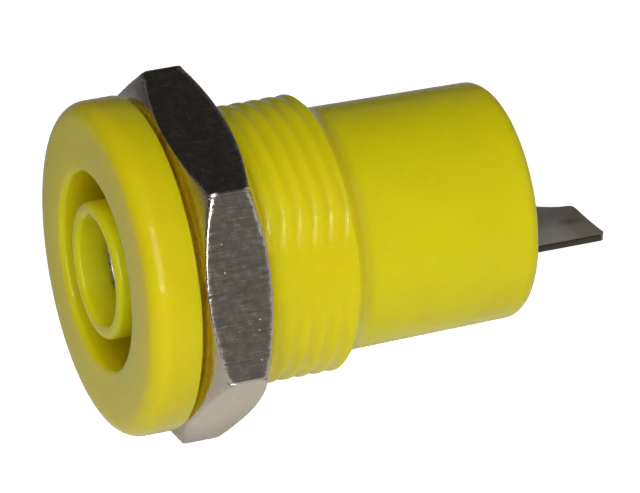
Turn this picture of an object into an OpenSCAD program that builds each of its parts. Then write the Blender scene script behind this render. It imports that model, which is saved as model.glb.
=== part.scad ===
// Panel-mount 4 mm banana socket with a touch-protected bore: housing, contact and nut.
// The plug enters along +Y. The panel seats on the bezel's back face, at Y = 0.

/* [Bezel] */
// Diameter of the bezel
bezel_d = 14.25; // [13.5:0.05:18]
// Thickness of the bezel in front of the panel
bezel_t = 2.15; // [1.5:0.05:4]
// Rounding of the bezel's front edge
bezel_front_r = 0.8; // [0.2:0.05:1.2]
// Rounding of the bezel's back edge
bezel_back_r = 0.15; // [0.05:0.05:0.3]

/* [Barrel] */
// Diameter over the thread's crests
thread_d = 11.85; // [11.5:0.05:12.5]
// Length of the threaded stretch behind the panel face
thread_l = 7.6; // [6:0.1:10]
// Run of the chamfer at the thread's end
thread_chamfer_l = 0.4; // [0.1:0.05:0.6]
// Depth of the chamfer at the thread's end
thread_chamfer_h = 0.4; // [0.05:0.05:0.5]
// Diameter of the plain rear barrel where it leaves the thread
rear_d = 10.42; // [10.2:0.02:11]
// Draft of the rear barrel, in degrees a side
rear_draft = 0.8; // [0:0.1:1]
// Length of the housing behind the panel face
body_l = 16.05; // [14:0.05:20]
// Rounding of the rear edge
rear_edge_r = 0.6; // [0.1:0.05:0.8]
// Thickness of the wall that closes the groove at the back
rear_wall = 1.5; // [1:0.1:2.5]

/* [Plug entry] */
// Outer diameter of the groove for the plug's shroud
groove_d = 8.45; // [8.2:0.05:8.7]
// Rounding of the groove's outer front edge
groove_edge_r = 0.25; // [0.05:0.05:0.4]
// Outer diameter of the touch-guard tube
guard_d = 5.86; // [5.7:0.02:6.1]
// Rounding of the touch-guard tube's front edges
guard_edge_r = 0.15; // [0.05:0.01:0.2]

/* [Contact] */
// Bore of the contact sleeve
contact_bore = 4.02; // [3.9:0.02:4.1]
// Thickness of the contact's sheet
sheet_t = 0.3; // [0.2:0.02:0.34]
// Radial clearance of the sleeve in the housing
sleeve_clearance = 0.02; // [0.01:0.01:0.05]
// Distance from the tube's front to the contact's front edge
contact_setback = 1.5; // [1:0.1:4]
// Width of the seam in the rolled sleeve
seam_w = 0.2; // [0.1:0.05:0.4]
// Diameter of the collar that seats on the housing's back
collar_d = 6.2; // [5.4:0.1:7]
// Height of the retaining barb above the sleeve
barb_h = 0.12; // [0.06:0.02:0.16]
// Length of the retaining barb
barb_l = 0.8; // [0.4:0.1:1.2]
// Distance from the housing's back to the barb's steep side
barb_setback = 3; // [2.5:0.1:5]

/* [Solder tail] */
// Width of the tail
tail_w = 2.9; // [2.2:0.1:3.4]
// Length of the tail behind the housing
tail_l = 4.5; // [3:0.1:8]
// Distance behind the housing where the tail's curved root runs out
tail_root_l = 3.4; // [1.4:0.1:3.8]
// Height of the curved root's sides above the flat tip
tail_side_h = 0.5; // [0.2:0.05:0.7]
// Distance from the bore's axis to the flat tip's inner face
tail_offset = 1.9; // [1.8:0.05:2]
// Corner radius at the tip
tail_corner_r = 0.3; // [0.1:0.05:0.9]
// Turn of the tail from straight down towards +X, in degrees
tail_turn = 13; // [-90:1:90]

/* [Nut] */
// How far the nut's flats stay inside the bezel's rim
nut_inset = 0.125; // [0.025:0.025:0.6]
// Thickness of the nut
nut_t = 2.85; // [2:0.05:4]
// Gap between the bezel and the nut
nut_gap = 0.3; // [0.26:0.02:2]
// How far the flat ring on the nut's faces stays inside its flats
nut_face_inset = 0.05; // [0:0.05:0.5]
// Angle of the nut's chamfers, in degrees
nut_chamfer = 28.5; // [15:0.5:40]
// Radial clearance between the nut's bore and the thread's crests
nut_clearance = 0.05; // [0.02:0.01:0.1]
// Depth of the countersinks at the nut's bore
nut_countersink = 0.25; // [0.1:0.05:0.5]

/* [Hidden] */
$fn = 96;
// Overrun of cutting shapes past the faces that they cut
over = 1;

front_y = -bezel_t;
groove_end_y = body_l - rear_wall;
rear_end_d = rear_d - 2 * (body_l - thread_l) * tan(rear_draft);
// Centre of the rear edge's rounding, which meets the drafted side without a step
rear_edge_x = rear_end_d / 2 + rear_edge_r * (tan(rear_draft) - 1 / cos(rear_draft));
rear_edge_y = body_l - rear_edge_r;
sleeve_d = contact_bore + 2 * sheet_t;
sleeve_hole_d = sleeve_d + 2 * sleeve_clearance;
contact_front_y = front_y + contact_setback;
collar_end_y = body_l + sheet_t;
barb_y = body_l - barb_setback;
tail_end_y = body_l + tail_l;
tail_root_y = body_l + tail_root_l;
// Slope of the root's trough, which rises from the bore to the flat tip's inner face
root_tilt = atan((contact_bore / 2 - tail_offset) / tail_root_l);
nut_af = bezel_d - 2 * nut_inset;
nut_face_d = nut_af - 2 * nut_face_inset;
nut_corner_r = nut_af / 2 / cos(30);
nut_bore_d = thread_d + 2 * nut_clearance;
// Radius beyond the nut's corners where its chamfer cones end
nut_cone_r = nut_corner_r + over;
nut_cone_h = (nut_cone_r - nut_face_d / 2) * tan(nut_chamfer);

// Turns a shape drawn along Z so that it lies along the socket's axis, +Y
module along_axis() {
    rotate([-90, 0, 0]) children();
}

// Revolves a section drawn as radius against distance along the axis
module revolve() {
    along_axis() rotate_extrude() children();
}

// Waste that rounds a corner at the origin whose material lies in the +X, +Y quarter
module corner_waste(r) {
    difference() {
        translate([-over, -over]) square(r + over);
        translate([r, r]) circle(r);
    }
}

// Solid outline of the housing, from its axis outwards
module housing_outline() {
    translate([0, front_y]) square([bezel_d / 2, bezel_t]);
    polygon([
        [0, -bezel_back_r],
        [thread_d / 2, -bezel_back_r],
        [thread_d / 2, thread_l - thread_chamfer_l],
        [thread_d / 2 - thread_chamfer_h, thread_l],
        [0, thread_l]
    ]);
    polygon([
        [0, thread_l - thread_chamfer_l],
        [rear_d / 2, thread_l - thread_chamfer_l],
        [rear_d / 2, thread_l],
        [rear_edge_x + rear_edge_r * cos(rear_draft), rear_edge_y + rear_edge_r * sin(rear_draft)],
        [rear_edge_x, body_l],
        [0, body_l]
    ]);
    translate([rear_edge_x, rear_edge_y]) circle(rear_edge_r);
}

// Roundings of the bezel's edges
module bezel_edges() {
    translate([bezel_d / 2, front_y]) mirror([1, 0]) corner_waste(bezel_front_r);
    translate([bezel_d / 2, 0]) rotate(180) corner_waste(bezel_back_r);
}

// Groove for the plug's shroud, open at the front, with its rims rounded
module groove_section() {
    difference() {
        translate([guard_d / 2 - guard_edge_r, front_y - over])
            square([(groove_d - guard_d) / 2 + guard_edge_r + groove_edge_r, groove_end_y - front_y + over]);
        translate([0, front_y + guard_edge_r]) square([guard_d / 2, groove_end_y - front_y]);
        translate([guard_d / 2 - guard_edge_r, front_y + guard_edge_r]) circle(guard_edge_r);
        translate([groove_d / 2, front_y + groove_edge_r])
            square([groove_edge_r + over, groove_end_y - front_y]);
        translate([groove_d / 2 + groove_edge_r, front_y + groove_edge_r]) circle(groove_edge_r);
    }
}

// Hole for the contact, with the barb's bite and a rounded mouth
module contact_hole_section() {
    translate([0, front_y - over]) square([sleeve_hole_d / 2, body_l - front_y + 2 * over]);
    translate([sleeve_clearance, 0]) barb_section();
    translate([0, front_y - over]) difference() {
        square([sleeve_hole_d / 2 + guard_edge_r, over + guard_edge_r]);
        translate([sleeve_hole_d / 2 + guard_edge_r, over + guard_edge_r]) circle(guard_edge_r);
    }
}

// Sawtooth ring that lets the sleeve slide in from the back and holds it there
module barb_section() {
    polygon([
        [0, barb_y - barb_l],
        [sleeve_d / 2, barb_y - barb_l],
        [sleeve_d / 2 + barb_h, barb_y],
        [0, barb_y]
    ]);
}

// Housing: bezel, shrouded entry, touch-guard tube and barrel in one moulding
module housing() {
    color("gold") revolve() difference() {
        housing_outline();
        bezel_edges();
        groove_section();
        contact_hole_section();
    }
}

// Rolled sleeve with its barb and collar, before its seam is cut
module sleeve() {
    revolve() difference() {
        union() {
            translate([0, contact_front_y]) square([sleeve_d / 2, collar_end_y - contact_front_y]);
            barb_section();
            translate([0, body_l]) square([collar_d / 2, sheet_t]);
        }
        translate([0, contact_front_y - over]) square([contact_bore / 2, collar_end_y - contact_front_y + 2 * over]);
    }
}

// Round bar along the root's trough, which rises towards the tip
module root_bar(r) {
    translate([0, body_l, 0]) rotate([root_tilt, 0, 0])
        translate([0, -over, 0]) along_axis() cylinder(h = tail_root_l + 2 * over, r = r);
}

// Side view of the tail, drawn as distance along the axis against height: the root's sides fall to the flat tip
module tail_side() {
    polygon([
        [body_l, tail_side_h - tail_offset],
        [collar_end_y, tail_side_h - tail_offset],
        [tail_root_y, -tail_offset],
        [tail_end_y, -tail_offset],
        [tail_end_y, -tail_offset - sheet_t],
        [body_l, -tail_offset - sheet_t]
    ]);
}

// Tail: a trough like the sleeve at its root, flat at its tip
module tail() {
    difference() {
        union() {
            rotate([90, 0, 90]) linear_extrude(tail_w, center = true) tail_side();
            intersection() {
                root_bar(sleeve_d / 2);
                translate([-tail_w / 2, body_l, -collar_d]) cube([tail_w, tail_root_l, collar_d - tail_offset]);
            }
        }
        root_bar(contact_bore / 2);
        for (s = [0, 1]) mirror([s, 0, 0]) translate([tail_w / 2, tail_end_y, -collar_d])
            linear_extrude(collar_d) rotate(180) corner_waste(tail_corner_r);
    }
}

// Contact: rolled sleeve, collar, barb and solder tail from one sheet
module contact() {
    color("silver") rotate([0, -tail_turn, 0]) {
        difference() {
            sleeve();
            translate([-seam_w / 2, contact_front_y - over, 0])
                cube([seam_w, collar_end_y - contact_front_y + 2 * over, collar_d]);
        }
        tail();
    }
}

// Nut: hexagon with both faces chamfered and a countersunk bore
module nut() {
    color("lightgray") translate([0, nut_gap, 0]) difference() {
        intersection() {
            along_axis() cylinder(h = nut_t, r = nut_corner_r, $fn = 6);
            revolve() polygon([
                [0, 0],
                [nut_face_d / 2, 0],
                [nut_cone_r, nut_cone_h],
                [nut_cone_r, nut_t - nut_cone_h],
                [nut_face_d / 2, nut_t],
                [0, nut_t]
            ]);
        }
        revolve() polygon([
            [0, -over],
            [nut_bore_d / 2 + nut_countersink, -over],
            [nut_bore_d / 2 + nut_countersink, 0],
            [nut_bore_d / 2, nut_countersink],
            [nut_bore_d / 2, nut_t - nut_countersink],
            [nut_bore_d / 2 + nut_countersink, nut_t],
            [nut_bore_d / 2 + nut_countersink, nut_t + over],
            [0, nut_t + over]
        ]);
    }
}

housing();
contact();
nut();
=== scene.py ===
import math
import random

import bmesh
import bpy
from mathutils import Matrix, Vector


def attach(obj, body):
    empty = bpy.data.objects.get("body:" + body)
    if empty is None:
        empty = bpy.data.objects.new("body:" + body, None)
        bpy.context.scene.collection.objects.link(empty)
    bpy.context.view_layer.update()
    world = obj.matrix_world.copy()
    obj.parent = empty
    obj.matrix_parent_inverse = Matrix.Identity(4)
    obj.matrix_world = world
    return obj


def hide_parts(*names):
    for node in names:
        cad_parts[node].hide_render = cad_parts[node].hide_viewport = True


# panel-mount banana socket: yellow housing, plated nut, sheet-metal contact
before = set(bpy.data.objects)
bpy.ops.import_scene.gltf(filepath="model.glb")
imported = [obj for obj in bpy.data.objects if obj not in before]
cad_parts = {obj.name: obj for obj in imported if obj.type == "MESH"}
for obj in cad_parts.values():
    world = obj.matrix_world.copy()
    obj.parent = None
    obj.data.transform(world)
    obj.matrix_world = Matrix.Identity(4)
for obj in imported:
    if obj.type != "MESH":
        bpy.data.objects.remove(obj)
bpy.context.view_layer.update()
mm = 0.001
print("frame in:", sorted(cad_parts))


# small helpers, all lengths in mm until they reach Blender
cornerReach = 0.002  # a point this close to a corner, in mm, is that corner
samePoint = 1e-7  # points this close, in metres, are one


def inMetres(values):
    return [value * mm for value in values]


def slide(low, high, value):
    return min(max((value - low) / (high - low), 0), 1)


def ease(low, high, value):
    t = slide(low, high, value)
    return t * t * (3 - 2 * t)


def turnTo(right, up, back):
    return Matrix((right, up, back)).transposed().to_4x4()


def deselectAll():
    if bpy.context.mode != "OBJECT":
        bpy.ops.object.mode_set(mode="OBJECT")
    bpy.ops.object.select_all(action="DESELECT")


def pickVerts(piece, test):
    edit = bmesh.from_edit_mesh(piece.data)
    for vert in edit.verts:
        vert.select_set(test(vert.co))
    edit.select_flush_mode()
    bmesh.update_edit_mesh(piece.data)


def cornerPoint(corner):
    # a corner is given as radius and place along the axis
    return Vector((corner[0] * mm, corner[1] * mm, 0))


def drawProfile(name, corners):
    # a plane merged to one point, drawn out from corner to corner and closed
    deselectAll()
    bpy.ops.mesh.primitive_plane_add(size=mm, location=(0, 0, 0))
    piece = bpy.context.active_object
    piece.name = name
    piece.data.name = name
    bpy.ops.object.mode_set(mode="EDIT")
    bpy.ops.mesh.select_mode(type="VERT")
    bpy.ops.mesh.merge(type="CENTER")
    start = here = cornerPoint(corners[0])
    bpy.ops.transform.translate(value=here)
    for corner in corners[1:]:
        there = cornerPoint(corner)
        bpy.ops.mesh.extrude_vertices_move(TRANSFORM_OT_translate={"value": there - here})
        here = there
    pickVerts(piece, lambda co: min((co - here).length, (co - start).length) < samePoint)
    bpy.ops.mesh.edge_face_add()
    return piece


def roundCorner(piece, corner, radius, segments):
    point = cornerPoint(corner)
    pickVerts(piece, lambda co: (co - point).length < cornerReach * mm)
    bpy.ops.mesh.bevel(offset=radius * mm, segments=segments, affect="VERTICES")


def splitRun(piece, cornerA, cornerB, cuts):
    ends = [cornerPoint(cornerA), cornerPoint(cornerB)]
    pickVerts(piece, lambda co: min((co - end).length for end in ends) < cornerReach * mm)
    bpy.ops.mesh.subdivide(number_cuts=cuts)


def spinRound(piece, steps):
    bpy.ops.mesh.select_all(action="SELECT")
    bpy.ops.mesh.spin(steps=steps, angle=2 * math.pi, center=(0, 0, 0), axis=(0, 1, 0))
    bpy.ops.mesh.select_all(action="SELECT")
    bpy.ops.mesh.remove_doubles(threshold=samePoint)
    bpy.ops.mesh.normals_make_consistent(inside=False)
    bpy.ops.object.mode_set(mode="OBJECT")


def smoothPiece(piece, angle):
    deselectAll()
    piece.select_set(True)
    bpy.context.view_layer.objects.active = piece
    bpy.ops.object.shade_smooth_by_angle(angle=math.radians(angle))
    evenOut = piece.modifiers.new("evenOut", "WEIGHTED_NORMAL")
    evenOut.keep_sharp = True
    bpy.ops.object.modifier_apply(modifier="evenOut")


def mountPiece(piece, body, node, material):
    piece.data.materials.clear()
    piece.data.materials.append(material)
    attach(piece, body)
    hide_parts(node)


def markFaces(piece, name, worth):
    mark = piece.data.attributes.new(name, "FLOAT", "FACE")
    for face in piece.data.polygons:
        mark.data[face.index].value = worth(face)


def markVerts(piece, name, worth):
    mark = piece.data.attributes.new(name, "FLOAT", "POINT")
    for vert in piece.data.vertices:
        mark.data[vert.index].value = worth(vert.co)


# material helpers

def grey(value):
    return (value, value, value)


def startMaterial(name):
    material = bpy.data.materials.new(name)
    material.use_nodes = True
    tree = material.node_tree
    return material, tree, tree.nodes["Principled BSDF"]


def addNode(tree, kind, **settings):
    node = tree.nodes.new(kind)
    for key, value in settings.items():
        if key in node.inputs:
            node.inputs[key].default_value = value
        else:
            setattr(node, key, value)
    return node


def objectSpace(tree):
    return addNode(tree, "ShaderNodeTexCoord").outputs["Object"]


def patternSpace(tree, scale):
    mapping = addNode(tree, "ShaderNodeMapping", Scale=scale)
    tree.links.new(objectSpace(tree), mapping.inputs["Vector"])
    return mapping.outputs["Vector"]


def alongAxis(tree):
    split = addNode(tree, "ShaderNodeSeparateXYZ")
    tree.links.new(objectSpace(tree), split.inputs[0])
    return split.outputs["Y"]


def readMark(tree, name):
    return addNode(tree, "ShaderNodeAttribute", attribute_name=name).outputs["Fac"]


def addNoise(tree, space, scale, detail, roughness):
    noise = addNode(tree, "ShaderNodeTexNoise", Scale=scale, Detail=detail, Roughness=roughness)
    tree.links.new(space, noise.inputs["Vector"])
    return noise.outputs["Fac"]


def addRamp(tree, source, run, low, high):
    ramp = addNode(tree, "ShaderNodeValToRGB")
    for mark, stop, colour in zip(ramp.color_ramp.elements, run, (low, high)):
        mark.position = stop
        mark.color = (*colour, 1)
    tree.links.new(source, ramp.inputs["Fac"])
    return ramp.outputs["Color"]


def addRange(tree, source, run, low, high, interpolation="LINEAR"):
    node = addNode(tree, "ShaderNodeMapRange", interpolation_type=interpolation)
    for name, value in zip(("From Min", "From Max", "To Min", "To Max"), (*run, low, high)):
        node.inputs[name].default_value = value
    tree.links.new(source, node.inputs["Value"])
    return node.outputs["Result"]


def addLength(tree, vector):
    node = addNode(tree, "ShaderNodeVectorMath", operation="LENGTH")
    tree.links.new(vector, node.inputs[0])
    return node.outputs["Value"]


def addMath(tree, operation, *values):
    node = addNode(tree, "ShaderNodeMath", operation=operation)
    for socket, value in zip(node.inputs, values):
        if isinstance(value, (int, float)):
            socket.default_value = value
        else:
            tree.links.new(value, socket)
    return node.outputs[0]


def addMix(tree, share, first, second):
    node = addNode(tree, "ShaderNodeMixRGB")
    tree.links.new(share, node.inputs["Fac"])
    for socket, value in ((node.inputs["Color1"], first), (node.inputs["Color2"], second)):
        if isinstance(value, tuple):
            socket.default_value = (*value, 1)
        else:
            tree.links.new(value, socket)
    return node.outputs["Color"]


def addSpots(tree, space, scale, core, rim):
    # small round spots, one at most in each cell
    cells = addNode(tree, "ShaderNodeTexVoronoi", Scale=scale)
    tree.links.new(space, cells.inputs["Vector"])
    return addRamp(tree, cells.outputs["Distance"], (core, rim), grey(1), grey(0))


def addBump(tree, shader, height, strength, distance, before=None):
    bump = addNode(tree, "ShaderNodeBump", Strength=strength, Distance=distance * mm)
    tree.links.new(height, bump.inputs["Height"])
    if before is not None:
        tree.links.new(before, bump.inputs["Normal"])
    tree.links.new(bump.outputs["Normal"], shader.inputs["Normal"])
    return bump.outputs["Normal"]


# glossy moulded plastic
# noises give scale, detail and roughness, spots scale, core and rim, bumps strength and height in mm
plasticLook = {
    "colour": (0.685, 0.586, 0.004), "shade": (0.65, 0.553, 0.004),
    "cloud": (260, 3, 0.55), "cloudRun": (0.35, 0.65),
    "speck": (0.20, 0.15, 0.004), "specks": (420, 0.02, 0.035),
    "inner": (0.54, 0.465, 0.004), "innerRough": 0.4,
    "bezelShade": 0.9, "bezelShadeRun": (-2, 6), "bezelGloss": 0.4, "glossRun": (-1, 1),
    "film": (1600, 3, 0.6), "filmRun": (0.3, 0.75), "filmRough": (0.08, 0.14), "filmBump": (0.08, 0.02),
    "ior": 1.24, "gleam": (1.0, 0.97, 0.75), "haze": 0.22, "hazeRough": 0.5,
    "glow": 1.0, "glowReach": (1.0, 0.7, 0.04), "glowDepth": 3.0, "glowInside": 7.0,
}


def makePlastic():
    material, tree, shader = startMaterial("yellowPlastic")
    p = plasticLook
    space = patternSpace(tree, (1, 1, 1))
    along = alongAxis(tree)
    inside = readMark(tree, "inside")
    cloud = addNoise(tree, space, *p["cloud"])
    tint = addRamp(tree, cloud, p["cloudRun"], p["shade"], p["colour"])
    # painted shade: the groove, tube and bore are drawn darker inside
    tint = addMix(tree, inside, tint, p["inner"])
    # the bezel is painted a little darker than the barrel, which is painted shade, and it is made glossier
    bezelShaded = addNode(tree, "ShaderNodeVectorMath", operation="SCALE")
    tree.links.new(tint, bezelShaded.inputs[0])
    bezelShadeScale = addRange(tree, along, inMetres(p["bezelShadeRun"]), p["bezelShade"], 1)
    tree.links.new(bezelShadeScale, bezelShaded.inputs["Scale"])
    specks = addSpots(tree, space, *p["specks"])
    tint = addMix(tree, specks, bezelShaded.outputs["Vector"], p["speck"])
    tree.links.new(tint, shader.inputs["Base Color"])
    film = addNoise(tree, space, *p["film"])
    gloss = addRamp(tree, film, p["filmRun"], *map(grey, p["filmRough"]))
    polish = addRange(tree, along, inMetres(p["glossRun"]), p["bezelGloss"], 1)
    gloss = addMath(tree, "MULTIPLY", gloss, polish)
    tree.links.new(addMix(tree, inside, gloss, grey(p["innerRough"])), shader.inputs["Roughness"])
    addBump(tree, shader, film, *p["filmBump"])
    shader.inputs["IOR"].default_value = p["ior"]
    shader.inputs["Specular Tint"].default_value = (*p["gleam"], 1)
    shader.inputs["Coat Weight"].default_value = p["haze"]
    shader.inputs["Coat Roughness"].default_value = p["hazeRough"]
    # light soaks in, and further in the groove and bore
    shader.inputs["Subsurface Weight"].default_value = p["glow"]
    shader.inputs["Subsurface Radius"].default_value = p["glowReach"]
    reach = addRange(tree, inside, (0, 1), *inMetres((p["glowDepth"], p["glowInside"])))
    tree.links.new(reach, shader.inputs["Subsurface Scale"])
    return material


# nickel-plated nut: flats with fine drawn lines along the axis, turned faces with fine rings
nutLook = {
    "colour": (0.585, 0.52, 0.435), "dull": (0.475, 0.42, 0.35), "wornRun": (0.34, 0.66),
    "seatPaintedLight": (0.93, 0.86, 0.72), "rough": (0.16, 0.3), "roughRun": (0.35, 0.65),
    "drawn": (15000, 3, 0.6), "drawnStretch": 0.06, "ringScale": 9000, "ringDetail": 3,
    "cloud": (3200, 4, 0.65), "lineShare": 0.5, "lineBump": (0.2, 0.004),
    "dents": (1500, 0.02, 0.06), "dentBump": (0.6, 0.02),
}


def makeNickel():
    material, tree, shader = startMaterial("nickelPlate")
    k = nutLook
    shader.inputs["Metallic"].default_value = 1
    space = patternSpace(tree, (1, 1, 1))
    drawn = addNoise(tree, patternSpace(tree, (1, k["drawnStretch"], 1)), *k["drawn"])
    fromAxis = addLength(tree, patternSpace(tree, (1, 0, 1)))
    rings = addNode(
        tree, "ShaderNodeTexNoise", noise_dimensions="1D", Scale=k["ringScale"], Detail=k["ringDetail"])
    tree.links.new(fromAxis, rings.inputs["W"])
    lines = addMix(tree, readMark(tree, "turned"), drawn, rings.outputs["Fac"])
    cloud = addNoise(tree, space, *k["cloud"])
    cloudShare = addMath(tree, "MULTIPLY", cloud, 1 - k["lineShare"])
    tone = addMath(tree, "MULTIPLY_ADD", lines, k["lineShare"], cloudShare)
    worn = addRamp(tree, tone, k["wornRun"], k["dull"], k["colour"])
    # painted light: the nut's front and back faces are given a lighter colour, so that the dim gap by the bezel
    # shows brighter in them
    tree.links.new(addMix(tree, readMark(tree, "seatPaintedLight"), worn, k["seatPaintedLight"]), shader.inputs["Base Color"])
    tree.links.new(addRamp(tree, tone, k["roughRun"], *map(grey, k["rough"])), shader.inputs["Roughness"])
    fine = addBump(tree, shader, lines, *k["lineBump"])
    addBump(tree, shader, addSpots(tree, space, *k["dents"]), *k["dentBump"], fine)
    return material


# contact sheet with its plating: painted light makes it lighter up to the tail's root; duller towards its tip,
# dark on its cut edges
sheetLook = {
    "colour": (0.66, 0.585, 0.46), "dull": (0.52, 0.455, 0.33), "bare": 0.93,
    "cloud": (1500, 4, 0.6), "cloudStretch": 0.5, "cloudRun": (0.3, 0.7), "cloudBump": (0.3, 0.02),
    "rough": (0.42, 0.3), "rootPaintedLight": (0.92, 0.84, 0.74), "rootPaintedLightRun": (18.6, 19.9), "cut": (0.085, 0.075, 0.06),
    "cornerShade": (0.34, 0.28, 0.13), "cornerShadeAt": (0.22, 19.75, -1.89), "cornerShadeSize": (0.38, 0.7, 0.38),
    "cornerShadeRun": (0.1, 1),
}


def makeSheet():
    material, tree, shader = startMaterial("contactMetal")
    k = sheetLook
    shader.inputs["Metallic"].default_value = k["bare"]
    cloud = addNoise(tree, patternSpace(tree, (1, k["cloudStretch"], 1)), *k["cloud"])
    worn = addRamp(tree, cloud, k["cloudRun"], k["dull"], k["colour"])
    # painted light: lighter up to the tail's root, duller past it
    root = addRange(tree, alongAxis(tree), inMetres(k["rootPaintedLightRun"]), 0, 1, "SMOOTHSTEP")
    platingAndRootLight = addMix(tree, root, k["rootPaintedLight"], worn)
    # painted shade: a dark patch where the tail's trough rises into its flat tip
    cornerShadeSpace = addNode(
        tree, "ShaderNodeMapping", vector_type="TEXTURE",
        Location=inMetres(k["cornerShadeAt"]), Scale=inMetres(k["cornerShadeSize"]))
    tree.links.new(objectSpace(tree), cornerShadeSpace.inputs["Vector"])
    away = addLength(tree, cornerShadeSpace.outputs["Vector"])
    tint = addMix(tree, addRamp(tree, away, k["cornerShadeRun"], grey(1), grey(0)), platingAndRootLight, k["cornerShade"])
    tree.links.new(addMix(tree, readMark(tree, "cut"), tint, k["cut"]), shader.inputs["Base Color"])
    tree.links.new(addRamp(tree, cloud, k["cloudRun"], *map(grey, k["rough"])), shader.inputs["Roughness"])
    addBump(tree, shader, cloud, *k["cloudBump"])
    return material


# housing: one section spun round, then the thread pressed into the barrel
housing = {
    "bezelR": 7.125, "front": -2.15, "frontRound": 0.8, "backRound": 0.15,
    "crestR": 5.925, "threadEnd": 7.6, "lead": 0.25, "foot": 0.45, "footRound": 0.35,
    "rearR": 5.21, "rearEndR": 5.092, "rearEnd": 16.05, "rearRound": 0.6,
    "grooveR": 4.225, "grooveEnd": 14.55, "grooveRound": 0.25, "insideRun": (0, 0.4),
    "guardR": 2.93, "guardRound": 0.25, "boreR": 2.33,
    "steps": 240, "threadRows": 150, "leadRows": 8, "smooth": 40,
}
# turns in degrees round the axis, from +X towards +Z
thread = {
    "pitch": 0.705, "depth": 0.076, "crestAt": 7.52, "crestTurn": 48, "startRun": (0.1, 0.6),
    "stepTurns": (39, 53), "stepBack": (-141, -127), "stepShare": 0.5,
    "fadeTop": (35, 40), "fullTop": (46, 58), "fadeLow": (18, 4), "part": 0.88,
    "clearOfRear": 0.1, "crestSlack": 1e-3,
}


def pressThread(piece):
    h, t = housing, thread
    for vert in piece.data.vertices:
        co = vert.co
        along = co.y / mm
        radius = math.hypot(co.x, co.z) / mm
        onBarrel = h["rearR"] + t["clearOfRear"] <= radius <= h["crestR"] + t["crestSlack"]
        if not onBarrel or not 0 < along < h["threadEnd"]:
            continue
        angle = math.degrees(math.atan2(co.z, co.x))
        # the ridges step by half a pitch on two sides, as where the halves of a mould meet
        step = t["stepShare"] * min(1 - slide(*t["stepTurns"], angle), slide(*t["stepBack"], angle))
        wave = (along - t["crestAt"]) / t["pitch"] + (angle - t["crestTurn"]) / 360 + step
        ridge = 0.5 + 0.5 * math.cos(2 * math.pi * wave)
        # and they fade to the root in the strip beside the step
        tall = t["part"] * slide(*t["fadeTop"], angle) + (1 - t["part"]) * slide(*t["fullTop"], angle)
        tall = max(tall, slide(*t["fadeLow"], angle))
        dip = t["depth"] * (1 - ridge * tall)
        new = min(radius, h["crestR"] - dip * ease(*t["startRun"], along))
        co.x *= new / radius
        co.z *= new / radius


def insideShare(co):
    # 1 in the groove, the tube and the bore, 0 on the outside
    if math.hypot(co.x, co.z) >= (housing["grooveR"] + housing["grooveRound"]) * mm:
        return 0
    return ease(*housing["insideRun"], co.y / mm - housing["front"])


def makeHousing(material):
    h = housing
    guardIn, guardOut = (h["boreR"], h["front"]), (h["guardR"], h["front"])
    grooveRim, bezelRim = (h["grooveR"], h["front"]), (h["bezelR"], h["front"])
    bezelBack, rearRim = (h["bezelR"], 0), (h["rearEndR"], h["rearEnd"])
    threadA, threadB = (h["crestR"], 0), (h["crestR"], h["threadEnd"] - h["lead"])
    leadEnd = (h["crestR"] - h["lead"], h["threadEnd"])
    footEnd = (h["rearR"], h["threadEnd"] + h["foot"])
    piece = drawProfile("housingMoulding", [
        guardIn, guardOut, (h["guardR"], h["grooveEnd"]), (h["grooveR"], h["grooveEnd"]),
        grooveRim, bezelRim, bezelBack, threadA, threadB, leadEnd,
        footEnd, rearRim, (h["boreR"], h["rearEnd"]),
    ])
    splitRun(piece, threadA, threadB, h["threadRows"])
    splitRun(piece, threadB, leadEnd, h["leadRows"])
    for corner, radius, segments in (
        (footEnd, h["footRound"], 8),
        (guardIn, h["guardRound"], 5),
        (guardOut, h["guardRound"], 5),
        (grooveRim, h["grooveRound"], 6),
        (bezelRim, h["frontRound"], 14),
        (bezelBack, h["backRound"], 4),
        (rearRim, h["rearRound"], 10),
    ):
        roundCorner(piece, corner, radius, segments)
    spinRound(piece, h["steps"])
    pressThread(piece)
    markVerts(piece, "inside", insideShare)
    smoothPiece(piece, h["smooth"])
    mountPiece(piece, "socket", "housing", material)
    print("housing:", len(piece.data.polygons), "faces")


# nut: a section spun round, then pushed out to the hexagon, with a rough burr where chamfer and flat meet
nut = {
    "flatR": 7.0, "thick": 2.85, "front": 0.3, "faceR": 6.95, "chamfer": 28.5, "boreR": 5.975, "sink": 0.25,
    "side": 96, "crowd": 0.4, "edgeStops": [0.0, 0.4, 0.8], "flatStops": [0.15, 0.3, 0.45, 0.6, 0.75, 0.9],
    "burr": 0.065, "cornerBurr": 0.1, "cornerRise": 6, "drag": 0.11, "dragRise": 3, "seed": 7,
    "arcIn": (0.15, 0.5), "arcDown": (-0.1, 0.3), "rimDown": (0.7, 1.1), "flatDown": 1.3,
    "cornerSpan": 0.3, "cornerWear": (0.015, 0.045),
    "smooth": 40, "turnedFrom": 0.6, "seatFrom": 0.99,
}
# stand-in places for the rows: each has its own, so that it can be found again after the spin
nutRows = {
    "edgeR": 6.4, "edgeStep": 0.2, "lipR": 6.6, "rimR": 6.65, "rimDrop": 0.05, "flatDrop": 0.1, "flatStep": 0.5,
}


def listNutRows(top):
    n, w = nut, nutRows
    rows = [("bore", 0, n["boreR"], top - n["sink"]), ("sink", 0, n["boreR"] + n["sink"], top)]
    rows += [("edge", stop, w["edgeR"] + w["edgeStep"] * stop, top) for stop in n["edgeStops"]]
    rows += [("lip", 0, w["lipR"], top), ("arc", 0, w["rimR"], top), ("rim", 0, w["rimR"], top - w["rimDrop"])]
    rows += [("flat", stop, w["rimR"], top - w["flatDrop"] - w["flatStep"] * stop) for stop in n["flatStops"]]
    return rows


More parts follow.
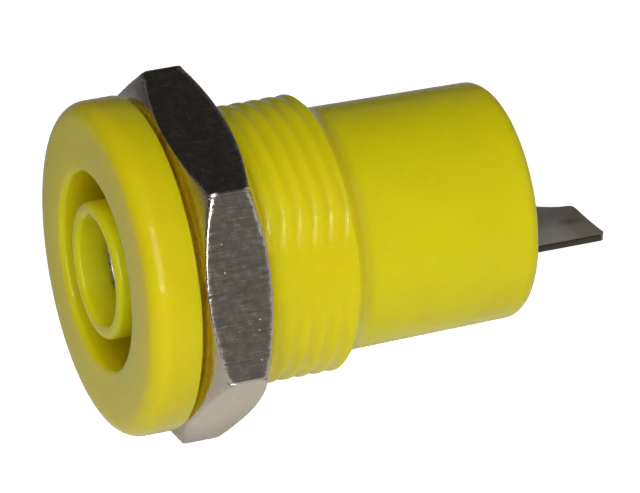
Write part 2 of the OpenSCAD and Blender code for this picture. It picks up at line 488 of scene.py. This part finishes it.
def makeNut(material):
    n = nut
    top = n["thick"] / 2
    mid = n["front"] + top
    slope = math.tan(math.radians(n["chamfer"]))
    rows = listNutRows(top)
    corners = [(r, mid - y) for kind, stop, r, y in rows]
    corners += [(r, mid + y) for kind, stop, r, y in reversed(rows)]
    piece = drawProfile("hexNut", corners)
    spinRound(piece, 6 * n["side"])
    draw = random.Random(n["seed"])
    for vert in piece.data.vertices:
        co = vert.co
        radius, along = math.hypot(co.x, co.z) / mm, co.y / mm - mid
        sector, spread = divmod(math.degrees(math.atan2(co.z, co.x)) % 360, 60)
        # columns crowd towards the corners of the hexagon
        share = spread / 30 - 1
        lean = 30 * share * (1 + n["crowd"] - n["crowd"] * share * share)
        turn = math.radians(60 * sector + 30 + lean)
        flatR = n["flatR"] / math.cos(math.radians(lean))
        toCorner = 30 - abs(lean)
        arcY = top - (flatR - n["faceR"]) * slope
        burr = n["burr"] + n["cornerBurr"] * abs(share) ** n["cornerRise"]
        burr += n["drag"] * max(share, 0) ** n["dragRise"]
        kind, stop, newR, newY = min(rows, key=lambda row: abs(row[2] - radius) + abs(row[3] - abs(along)))
        if kind == "edge":
            newR = n["faceR"] + stop * (flatR - burr - n["faceR"])
            newY = top - (newR - n["faceR"]) * slope
        elif kind == "lip":
            newR, newY = flatR - burr, arcY + burr * slope
        elif kind == "arc":
            newR = flatR - burr * draw.uniform(*n["arcIn"])
            newY = arcY - burr * draw.uniform(*n["arcDown"])
        elif kind == "rim":
            newR, newY = flatR, arcY - burr * draw.uniform(*n["rimDown"])
        elif kind == "flat":
            newR, newY = flatR, (arcY - n["flatDown"] * burr) * (1 - stop)
        if toCorner < n["cornerSpan"] and kind in ("rim", "flat"):
            newR -= draw.uniform(*n["cornerWear"]) * (1 - toCorner / n["cornerSpan"])
        co.x = newR * mm * math.cos(turn)
        co.z = newR * mm * math.sin(turn)
        co.y = (mid + math.copysign(newY, along)) * mm
    smoothPiece(piece, n["smooth"])
    markFaces(piece, "turned", lambda face: abs(face.normal.y) > n["turnedFrom"])
    # the faces that get the painted light
    markFaces(piece, "seatPaintedLight", lambda face: abs(face.normal.y) > n["seatFrom"])
    mountPiece(piece, "nut", "nut", material)
    print("nut:", len(piece.data.polygons), "faces")


# contact: rolled sleeve with collar and barb, and a tail that flattens towards its tip
contact = {
    "boreR": 2.01, "sheet": 0.3, "front": -0.81, "frontRound": 0.14, "seam": 0.2, "steps": 96,
    "collarR": 3.1, "collarAt": 16.05, "collarRound": 0.06, "barbAt": 13.05, "barbRun": 0.8, "barbH": 0.12,
    "edgeBand": 0.15, "edgeDull": 0.64, "edgeVary": 0.24, "edgeWaves": (9, 23), "edgePhase": 1, "smooth": 35,
}
tail = {
    "wide": 2.9, "lap": 0.05, "end": 20.55, "tipSkew": 0.09, "tipRound": 0.3, "tipCurve": 0.06,
    "offset": 1.9, "settle": 0.06, "turn": 13, "nearFlat": (16.4, 17.6), "farFlat": (17.2, 20.2), "riseMax": 0.62,
    "columns": 25, "rows": 45, "edgeSoft": 0.03, "softFrom": 50, "sideBand": 0.025, "tipBand": 0.02,
}


def makeSleeve():
    c = contact
    outR = c["boreR"] + c["sheet"]
    collarEnd = c["collarAt"] + c["sheet"]
    piece = drawProfile("contactStrip", [
        (c["boreR"], c["front"]), (outR, c["front"]), (outR, c["barbAt"] - c["barbRun"]),
        (outR + c["barbH"], c["barbAt"]), (outR, c["barbAt"]), (outR, c["collarAt"]),
        (c["collarR"], c["collarAt"]), (c["collarR"], collarEnd), (c["boreR"], collarEnd),
    ])
    for corner in ((c["boreR"], c["front"]), (outR, c["front"])):
        roundCorner(piece, corner, c["frontRound"], 4)
    for corner in ((c["collarR"], collarEnd), (c["boreR"], collarEnd)):
        roundCorner(piece, corner, c["collarRound"], 3)
    gap = c["seam"] / c["boreR"]
    bpy.ops.mesh.select_all(action="SELECT")
    bpy.ops.mesh.edge_face_add()
    bpy.ops.transform.rotate(value=math.pi / 2 + gap / 2, orient_axis="Y", center_override=(0, 0, 0))
    bpy.ops.mesh.spin(steps=c["steps"], angle=2 * math.pi - gap, center=(0, 0, 0), axis=(0, 1, 0))
    bpy.ops.mesh.select_all(action="SELECT")
    bpy.ops.mesh.normals_make_consistent(inside=False)
    bpy.ops.object.mode_set(mode="OBJECT")
    return piece


def makeTail():
    c, t = contact, tail
    start = c["collarAt"] + t["lap"]
    deselectAll()
    bpy.ops.mesh.primitive_grid_add(
        x_subdivisions=t["columns"], y_subdivisions=t["rows"], size=1, location=(0, 0, 0))
    piece = bpy.context.active_object
    piece.name = "contactTail"
    for vert in piece.data.vertices:
        across = vert.co.x * t["wide"]
        end = t["end"] + t["tipSkew"] * across
        along = start + (vert.co.y + 0.5) * (end - start)
        short = t["tipRound"] - (end - along)
        if short > 0:
            half = t["wide"] / 2
            cornerIn = t["tipRound"] - math.sqrt(max(t["tipRound"] ** 2 - short ** 2, 0))
            across *= (half - cornerIn) / half
        flatten = ease(*(t["nearFlat"] if across > 0 else t["farFlat"]), along)
        curve = (1 - flatten) / c["boreR"] + flatten * t["tipCurve"]
        floor = -c["boreR"] + ease(*t["nearFlat"], along) * (c["boreR"] - t["offset"] - t["settle"])
        rise = min((1 - math.sqrt(1 - (curve * across) ** 2)) / curve, t["riseMax"])
        vert.co = Vector((across * mm, along * mm, (floor + rise) * mm))
    shell = piece.modifiers.new("shell", "SOLIDIFY")
    shell.thickness = c["sheet"] * mm
    shell.offset = -1
    shell.use_even_offset = True
    bpy.ops.object.modifier_apply(modifier="shell")
    soft = piece.modifiers.new("soft", "BEVEL")
    soft.width = t["edgeSoft"] * mm
    soft.segments = 2
    soft.limit_method = "ANGLE"
    soft.angle_limit = math.radians(t["softFrom"])
    bpy.ops.object.modifier_apply(modifier="soft")
    markFaces(piece, "cut", onCutEdge)
    return piece


def onCutEdge(face):
    side, along = face.center.x / mm, face.center.y / mm
    onSide = abs(side) > tail["wide"] / 2 - tail["sideBand"]
    return onSide or along - tail["tipSkew"] * side > tail["end"] - tail["tipBand"]


def dullEdge(face):
    # the sleeve's front edge is brighter in short runs
    c = contact
    if face.center.y / mm > c["front"] + c["edgeBand"]:
        return 0
    turn = math.atan2(face.center.z, face.center.x)
    slow, quick = c["edgeWaves"]
    return c["edgeDull"] + c["edgeVary"] * math.sin(slow * turn) * math.sin(quick * turn + c["edgePhase"])


def makeContact(material):
    sleeve = makeSleeve()
    strip = makeTail()
    markFaces(sleeve, "cut", dullEdge)
    for piece in (sleeve, strip):
        piece.data.transform(Matrix.Rotation(math.radians(-tail["turn"]), 4, "Y"))
    deselectAll()
    strip.select_set(True)
    sleeve.select_set(True)
    bpy.context.view_layer.objects.active = sleeve
    bpy.ops.object.join()
    smoothPiece(sleeve, contact["smooth"])
    mountPiece(sleeve, "socket", "contact", material)
    print("contact:", len(sleeve.data.polygons), "faces")


# floor: the socket rests on the nut's lower flat and the rear rim, so the floor leans against its frame
stageSet = {
    "tilt": 8.7, "touch": (0, 3.15, -7.0), "drop": 0.01, "size": 3.0, "near": 0.75, "far": 0.12,
    "nearTo": 125, "farFrom": 175, "centre": (120, -30, 0), "seen": 0.85, "mirrored": 0.04,
}


def makeFloor():
    s = stageSet
    deselectAll()
    bpy.ops.mesh.primitive_plane_add(size=s["size"], location=(0, 0, 0))
    floor = bpy.context.active_object
    floor.name = "floor"
    place = Matrix.Translation(Vector(s["touch"]) * mm) @ Matrix.Rotation(math.radians(s["tilt"]), 4, "X")
    floor.data.transform(place @ Matrix.Translation((0, 0, -s["drop"] * mm)))
    material = bpy.data.materials.new("paleFloor")
    material.use_nodes = True
    tree = material.node_tree
    tree.nodes.clear()
    out = addNode(tree, "ShaderNodeOutputMaterial")
    # paper painted as a pool of light: bright near the lens, darker further off
    paper = addNode(tree, "ShaderNodeBsdfDiffuse")
    around = addNode(tree, "ShaderNodeVectorMath", operation="DISTANCE")
    tree.links.new(patternSpace(tree, (1, 1, 0)), around.inputs[0])
    around.inputs[1].default_value = inMetres(s["centre"])
    lightPoolRun = inMetres((s["nearTo"], s["farFrom"]))
    paintedLightPool = addRamp(tree, around.outputs["Value"], lightPoolRun, grey(s["near"]), grey(s["far"]))
    tree.links.new(paintedLightPool, paper.inputs["Color"])
    # white to the camera, and a trace of it in reflections
    white = addNode(tree, "ShaderNodeEmission")
    ray = addNode(tree, "ShaderNodeLightPath")
    direct = addMath(tree, "MAXIMUM", ray.outputs["Is Camera Ray"], ray.outputs["Is Transmission Ray"])
    mirrored = addMath(tree, "MULTIPLY", ray.outputs["Is Glossy Ray"], s["mirrored"])
    tree.links.new(addMath(tree, "MULTIPLY_ADD", direct, s["seen"], mirrored), white.inputs["Strength"])
    both = addNode(tree, "ShaderNodeAddShader")
    tree.links.new(paper.outputs[0], both.inputs[0])
    tree.links.new(white.outputs[0], both.inputs[1])
    tree.links.new(both.outputs[0], out.inputs["Surface"])
    floor.data.materials.append(material)


# lamps: a ring of soft bars round the lens with a soft middle, and a white card at the socket's right,
# which lights what faces away from the ring
ringLamp = {
    "towards": (0.668, -0.365, 0.648), "upright": (-0.7, 0, 0.72), "middle": (0, 6, 0), "reach": 240,
    "tall": 20, "wide": 15.5, "bars": 12, "barW": 13, "power": 0.46, "ends": 1.1, "top": 0.15,
    "fill": 0.128, "fillSize": 110,
}
cardLamp = {"towards": (0.35, 0.88, 0.3), "middle": (0, 8, 0), "reach": 240, "size": 300, "power": 0.12}


def addLamp(name, shape, size, power, spot, turn):
    data = bpy.data.lights.new(name, "AREA")
    data.shape = shape
    data.size, data.size_y = inMetres(size)
    data.energy = power
    lamp = bpy.data.objects.new(name, data)
    bpy.context.scene.collection.objects.link(lamp)
    lamp.matrix_world = Matrix.Translation(spot * mm) @ turn
    lamp.visible_camera = False


def makeLamps():
    r = ringLamp
    axis = Vector(r["towards"]).normalized()
    upright = Vector(r["upright"])
    tallWay = (upright - axis * axis.dot(upright)).normalized()
    wideWay = axis.cross(tallWay)
    tall, wide = math.tan(math.radians(r["tall"])), math.tan(math.radians(r["wide"]))
    middle = Vector(r["middle"])
    turns = [2 * math.pi * i / r["bars"] for i in range(r["bars"])]
    spots = []
    for a in turns:
        off = tallWay * math.sin(a) * tall + wideWay * math.cos(a) * wide
        spots.append(middle + (axis + off) * r["reach"])
    fillTurn = turnTo(wideWay, axis.cross(wideWay), axis)
    addLamp("ringMiddle", "DISK", (r["fillSize"], r["fillSize"]), r["fill"], middle + axis * r["reach"], fillTurn)
    for i, spot in enumerate(spots):
        along = spots[(i + 1) % r["bars"]] - spots[i - 1]
        back = (spot - middle).normalized()
        side = (along - back * along.dot(back)).normalized()
        # the ring is brighter at its two ends, most of all at the top
        height = math.sin(turns[i])
        power = r["power"] / r["bars"] * (1 + r["ends"] * (height * height - 0.5) + r["top"] * height)
        barTurn = turnTo(side, back.cross(side), back)
        addLamp("ringBar", "RECTANGLE", (along.length / 2, r["barW"]), power, spot, barTurn)


def makeCard():
    c = cardLamp
    axis = Vector(c["towards"]).normalized()
    turn = axis.to_track_quat("Z", "Y").to_matrix().to_4x4()
    addLamp("sideCard", "DISK", (c["size"], c["size"]), c["power"], Vector(c["middle"]) + axis * c["reach"], turn)


# a dim room, lighter near the floor
room = {"low": 0.185, "high": 0.023, "run": (0.1, 0.5)}


def makeRoom():
    world = bpy.data.worlds.new("dimRoom")
    bpy.context.scene.world = world
    world.use_nodes = True
    tree = world.node_tree
    coords = addNode(tree, "ShaderNodeTexCoord")
    lift = addNode(tree, "ShaderNodeVectorMath", operation="DOT_PRODUCT")
    tilt = math.radians(stageSet["tilt"])
    lift.inputs[1].default_value = (0, -math.sin(tilt), math.cos(tilt))
    tree.links.new(coords.outputs["Generated"], lift.inputs[0])
    shade = addRamp(tree, lift.outputs["Value"], room["run"], grey(room["low"]), grey(room["high"]))
    tree.links.new(shade, tree.nodes["Background"].inputs["Color"])


# camera at the photograph's place
lens = {
    "spot": (185.37, -83.07, 178.69), "focal": 363.4, "sensor": 36, "clip": (0.01, 20),
    "right": (0.3617, 0.9272, 0.0973), "up": (-0.6408, 0.1715, 0.7483),
}


def makeCamera():
    data = bpy.data.cameras.new("camera")
    data.lens = lens["focal"]
    data.sensor_width = lens["sensor"]
    data.sensor_fit = "HORIZONTAL"
    data.clip_start, data.clip_end = lens["clip"]
    camera = bpy.data.objects.new("camera", data)
    bpy.context.scene.collection.objects.link(camera)
    right = Vector(lens["right"]).normalized()
    up = Vector(lens["up"])
    up = (up - right * up.dot(right)).normalized()
    camera.matrix_world = Matrix.Translation(Vector(lens["spot"]) * mm) @ turnTo(right, up, right.cross(up))
    bpy.context.scene.camera = camera


makeCamera()
makeHousing(makePlastic())
makeNut(makeNickel())
makeContact(makeSheet())
makeFloor()
makeLamps()
makeCard()
makeRoom()
bpy.context.scene.view_settings.view_transform = "Standard"
print("lamps, floor and camera set")

deselectAll()
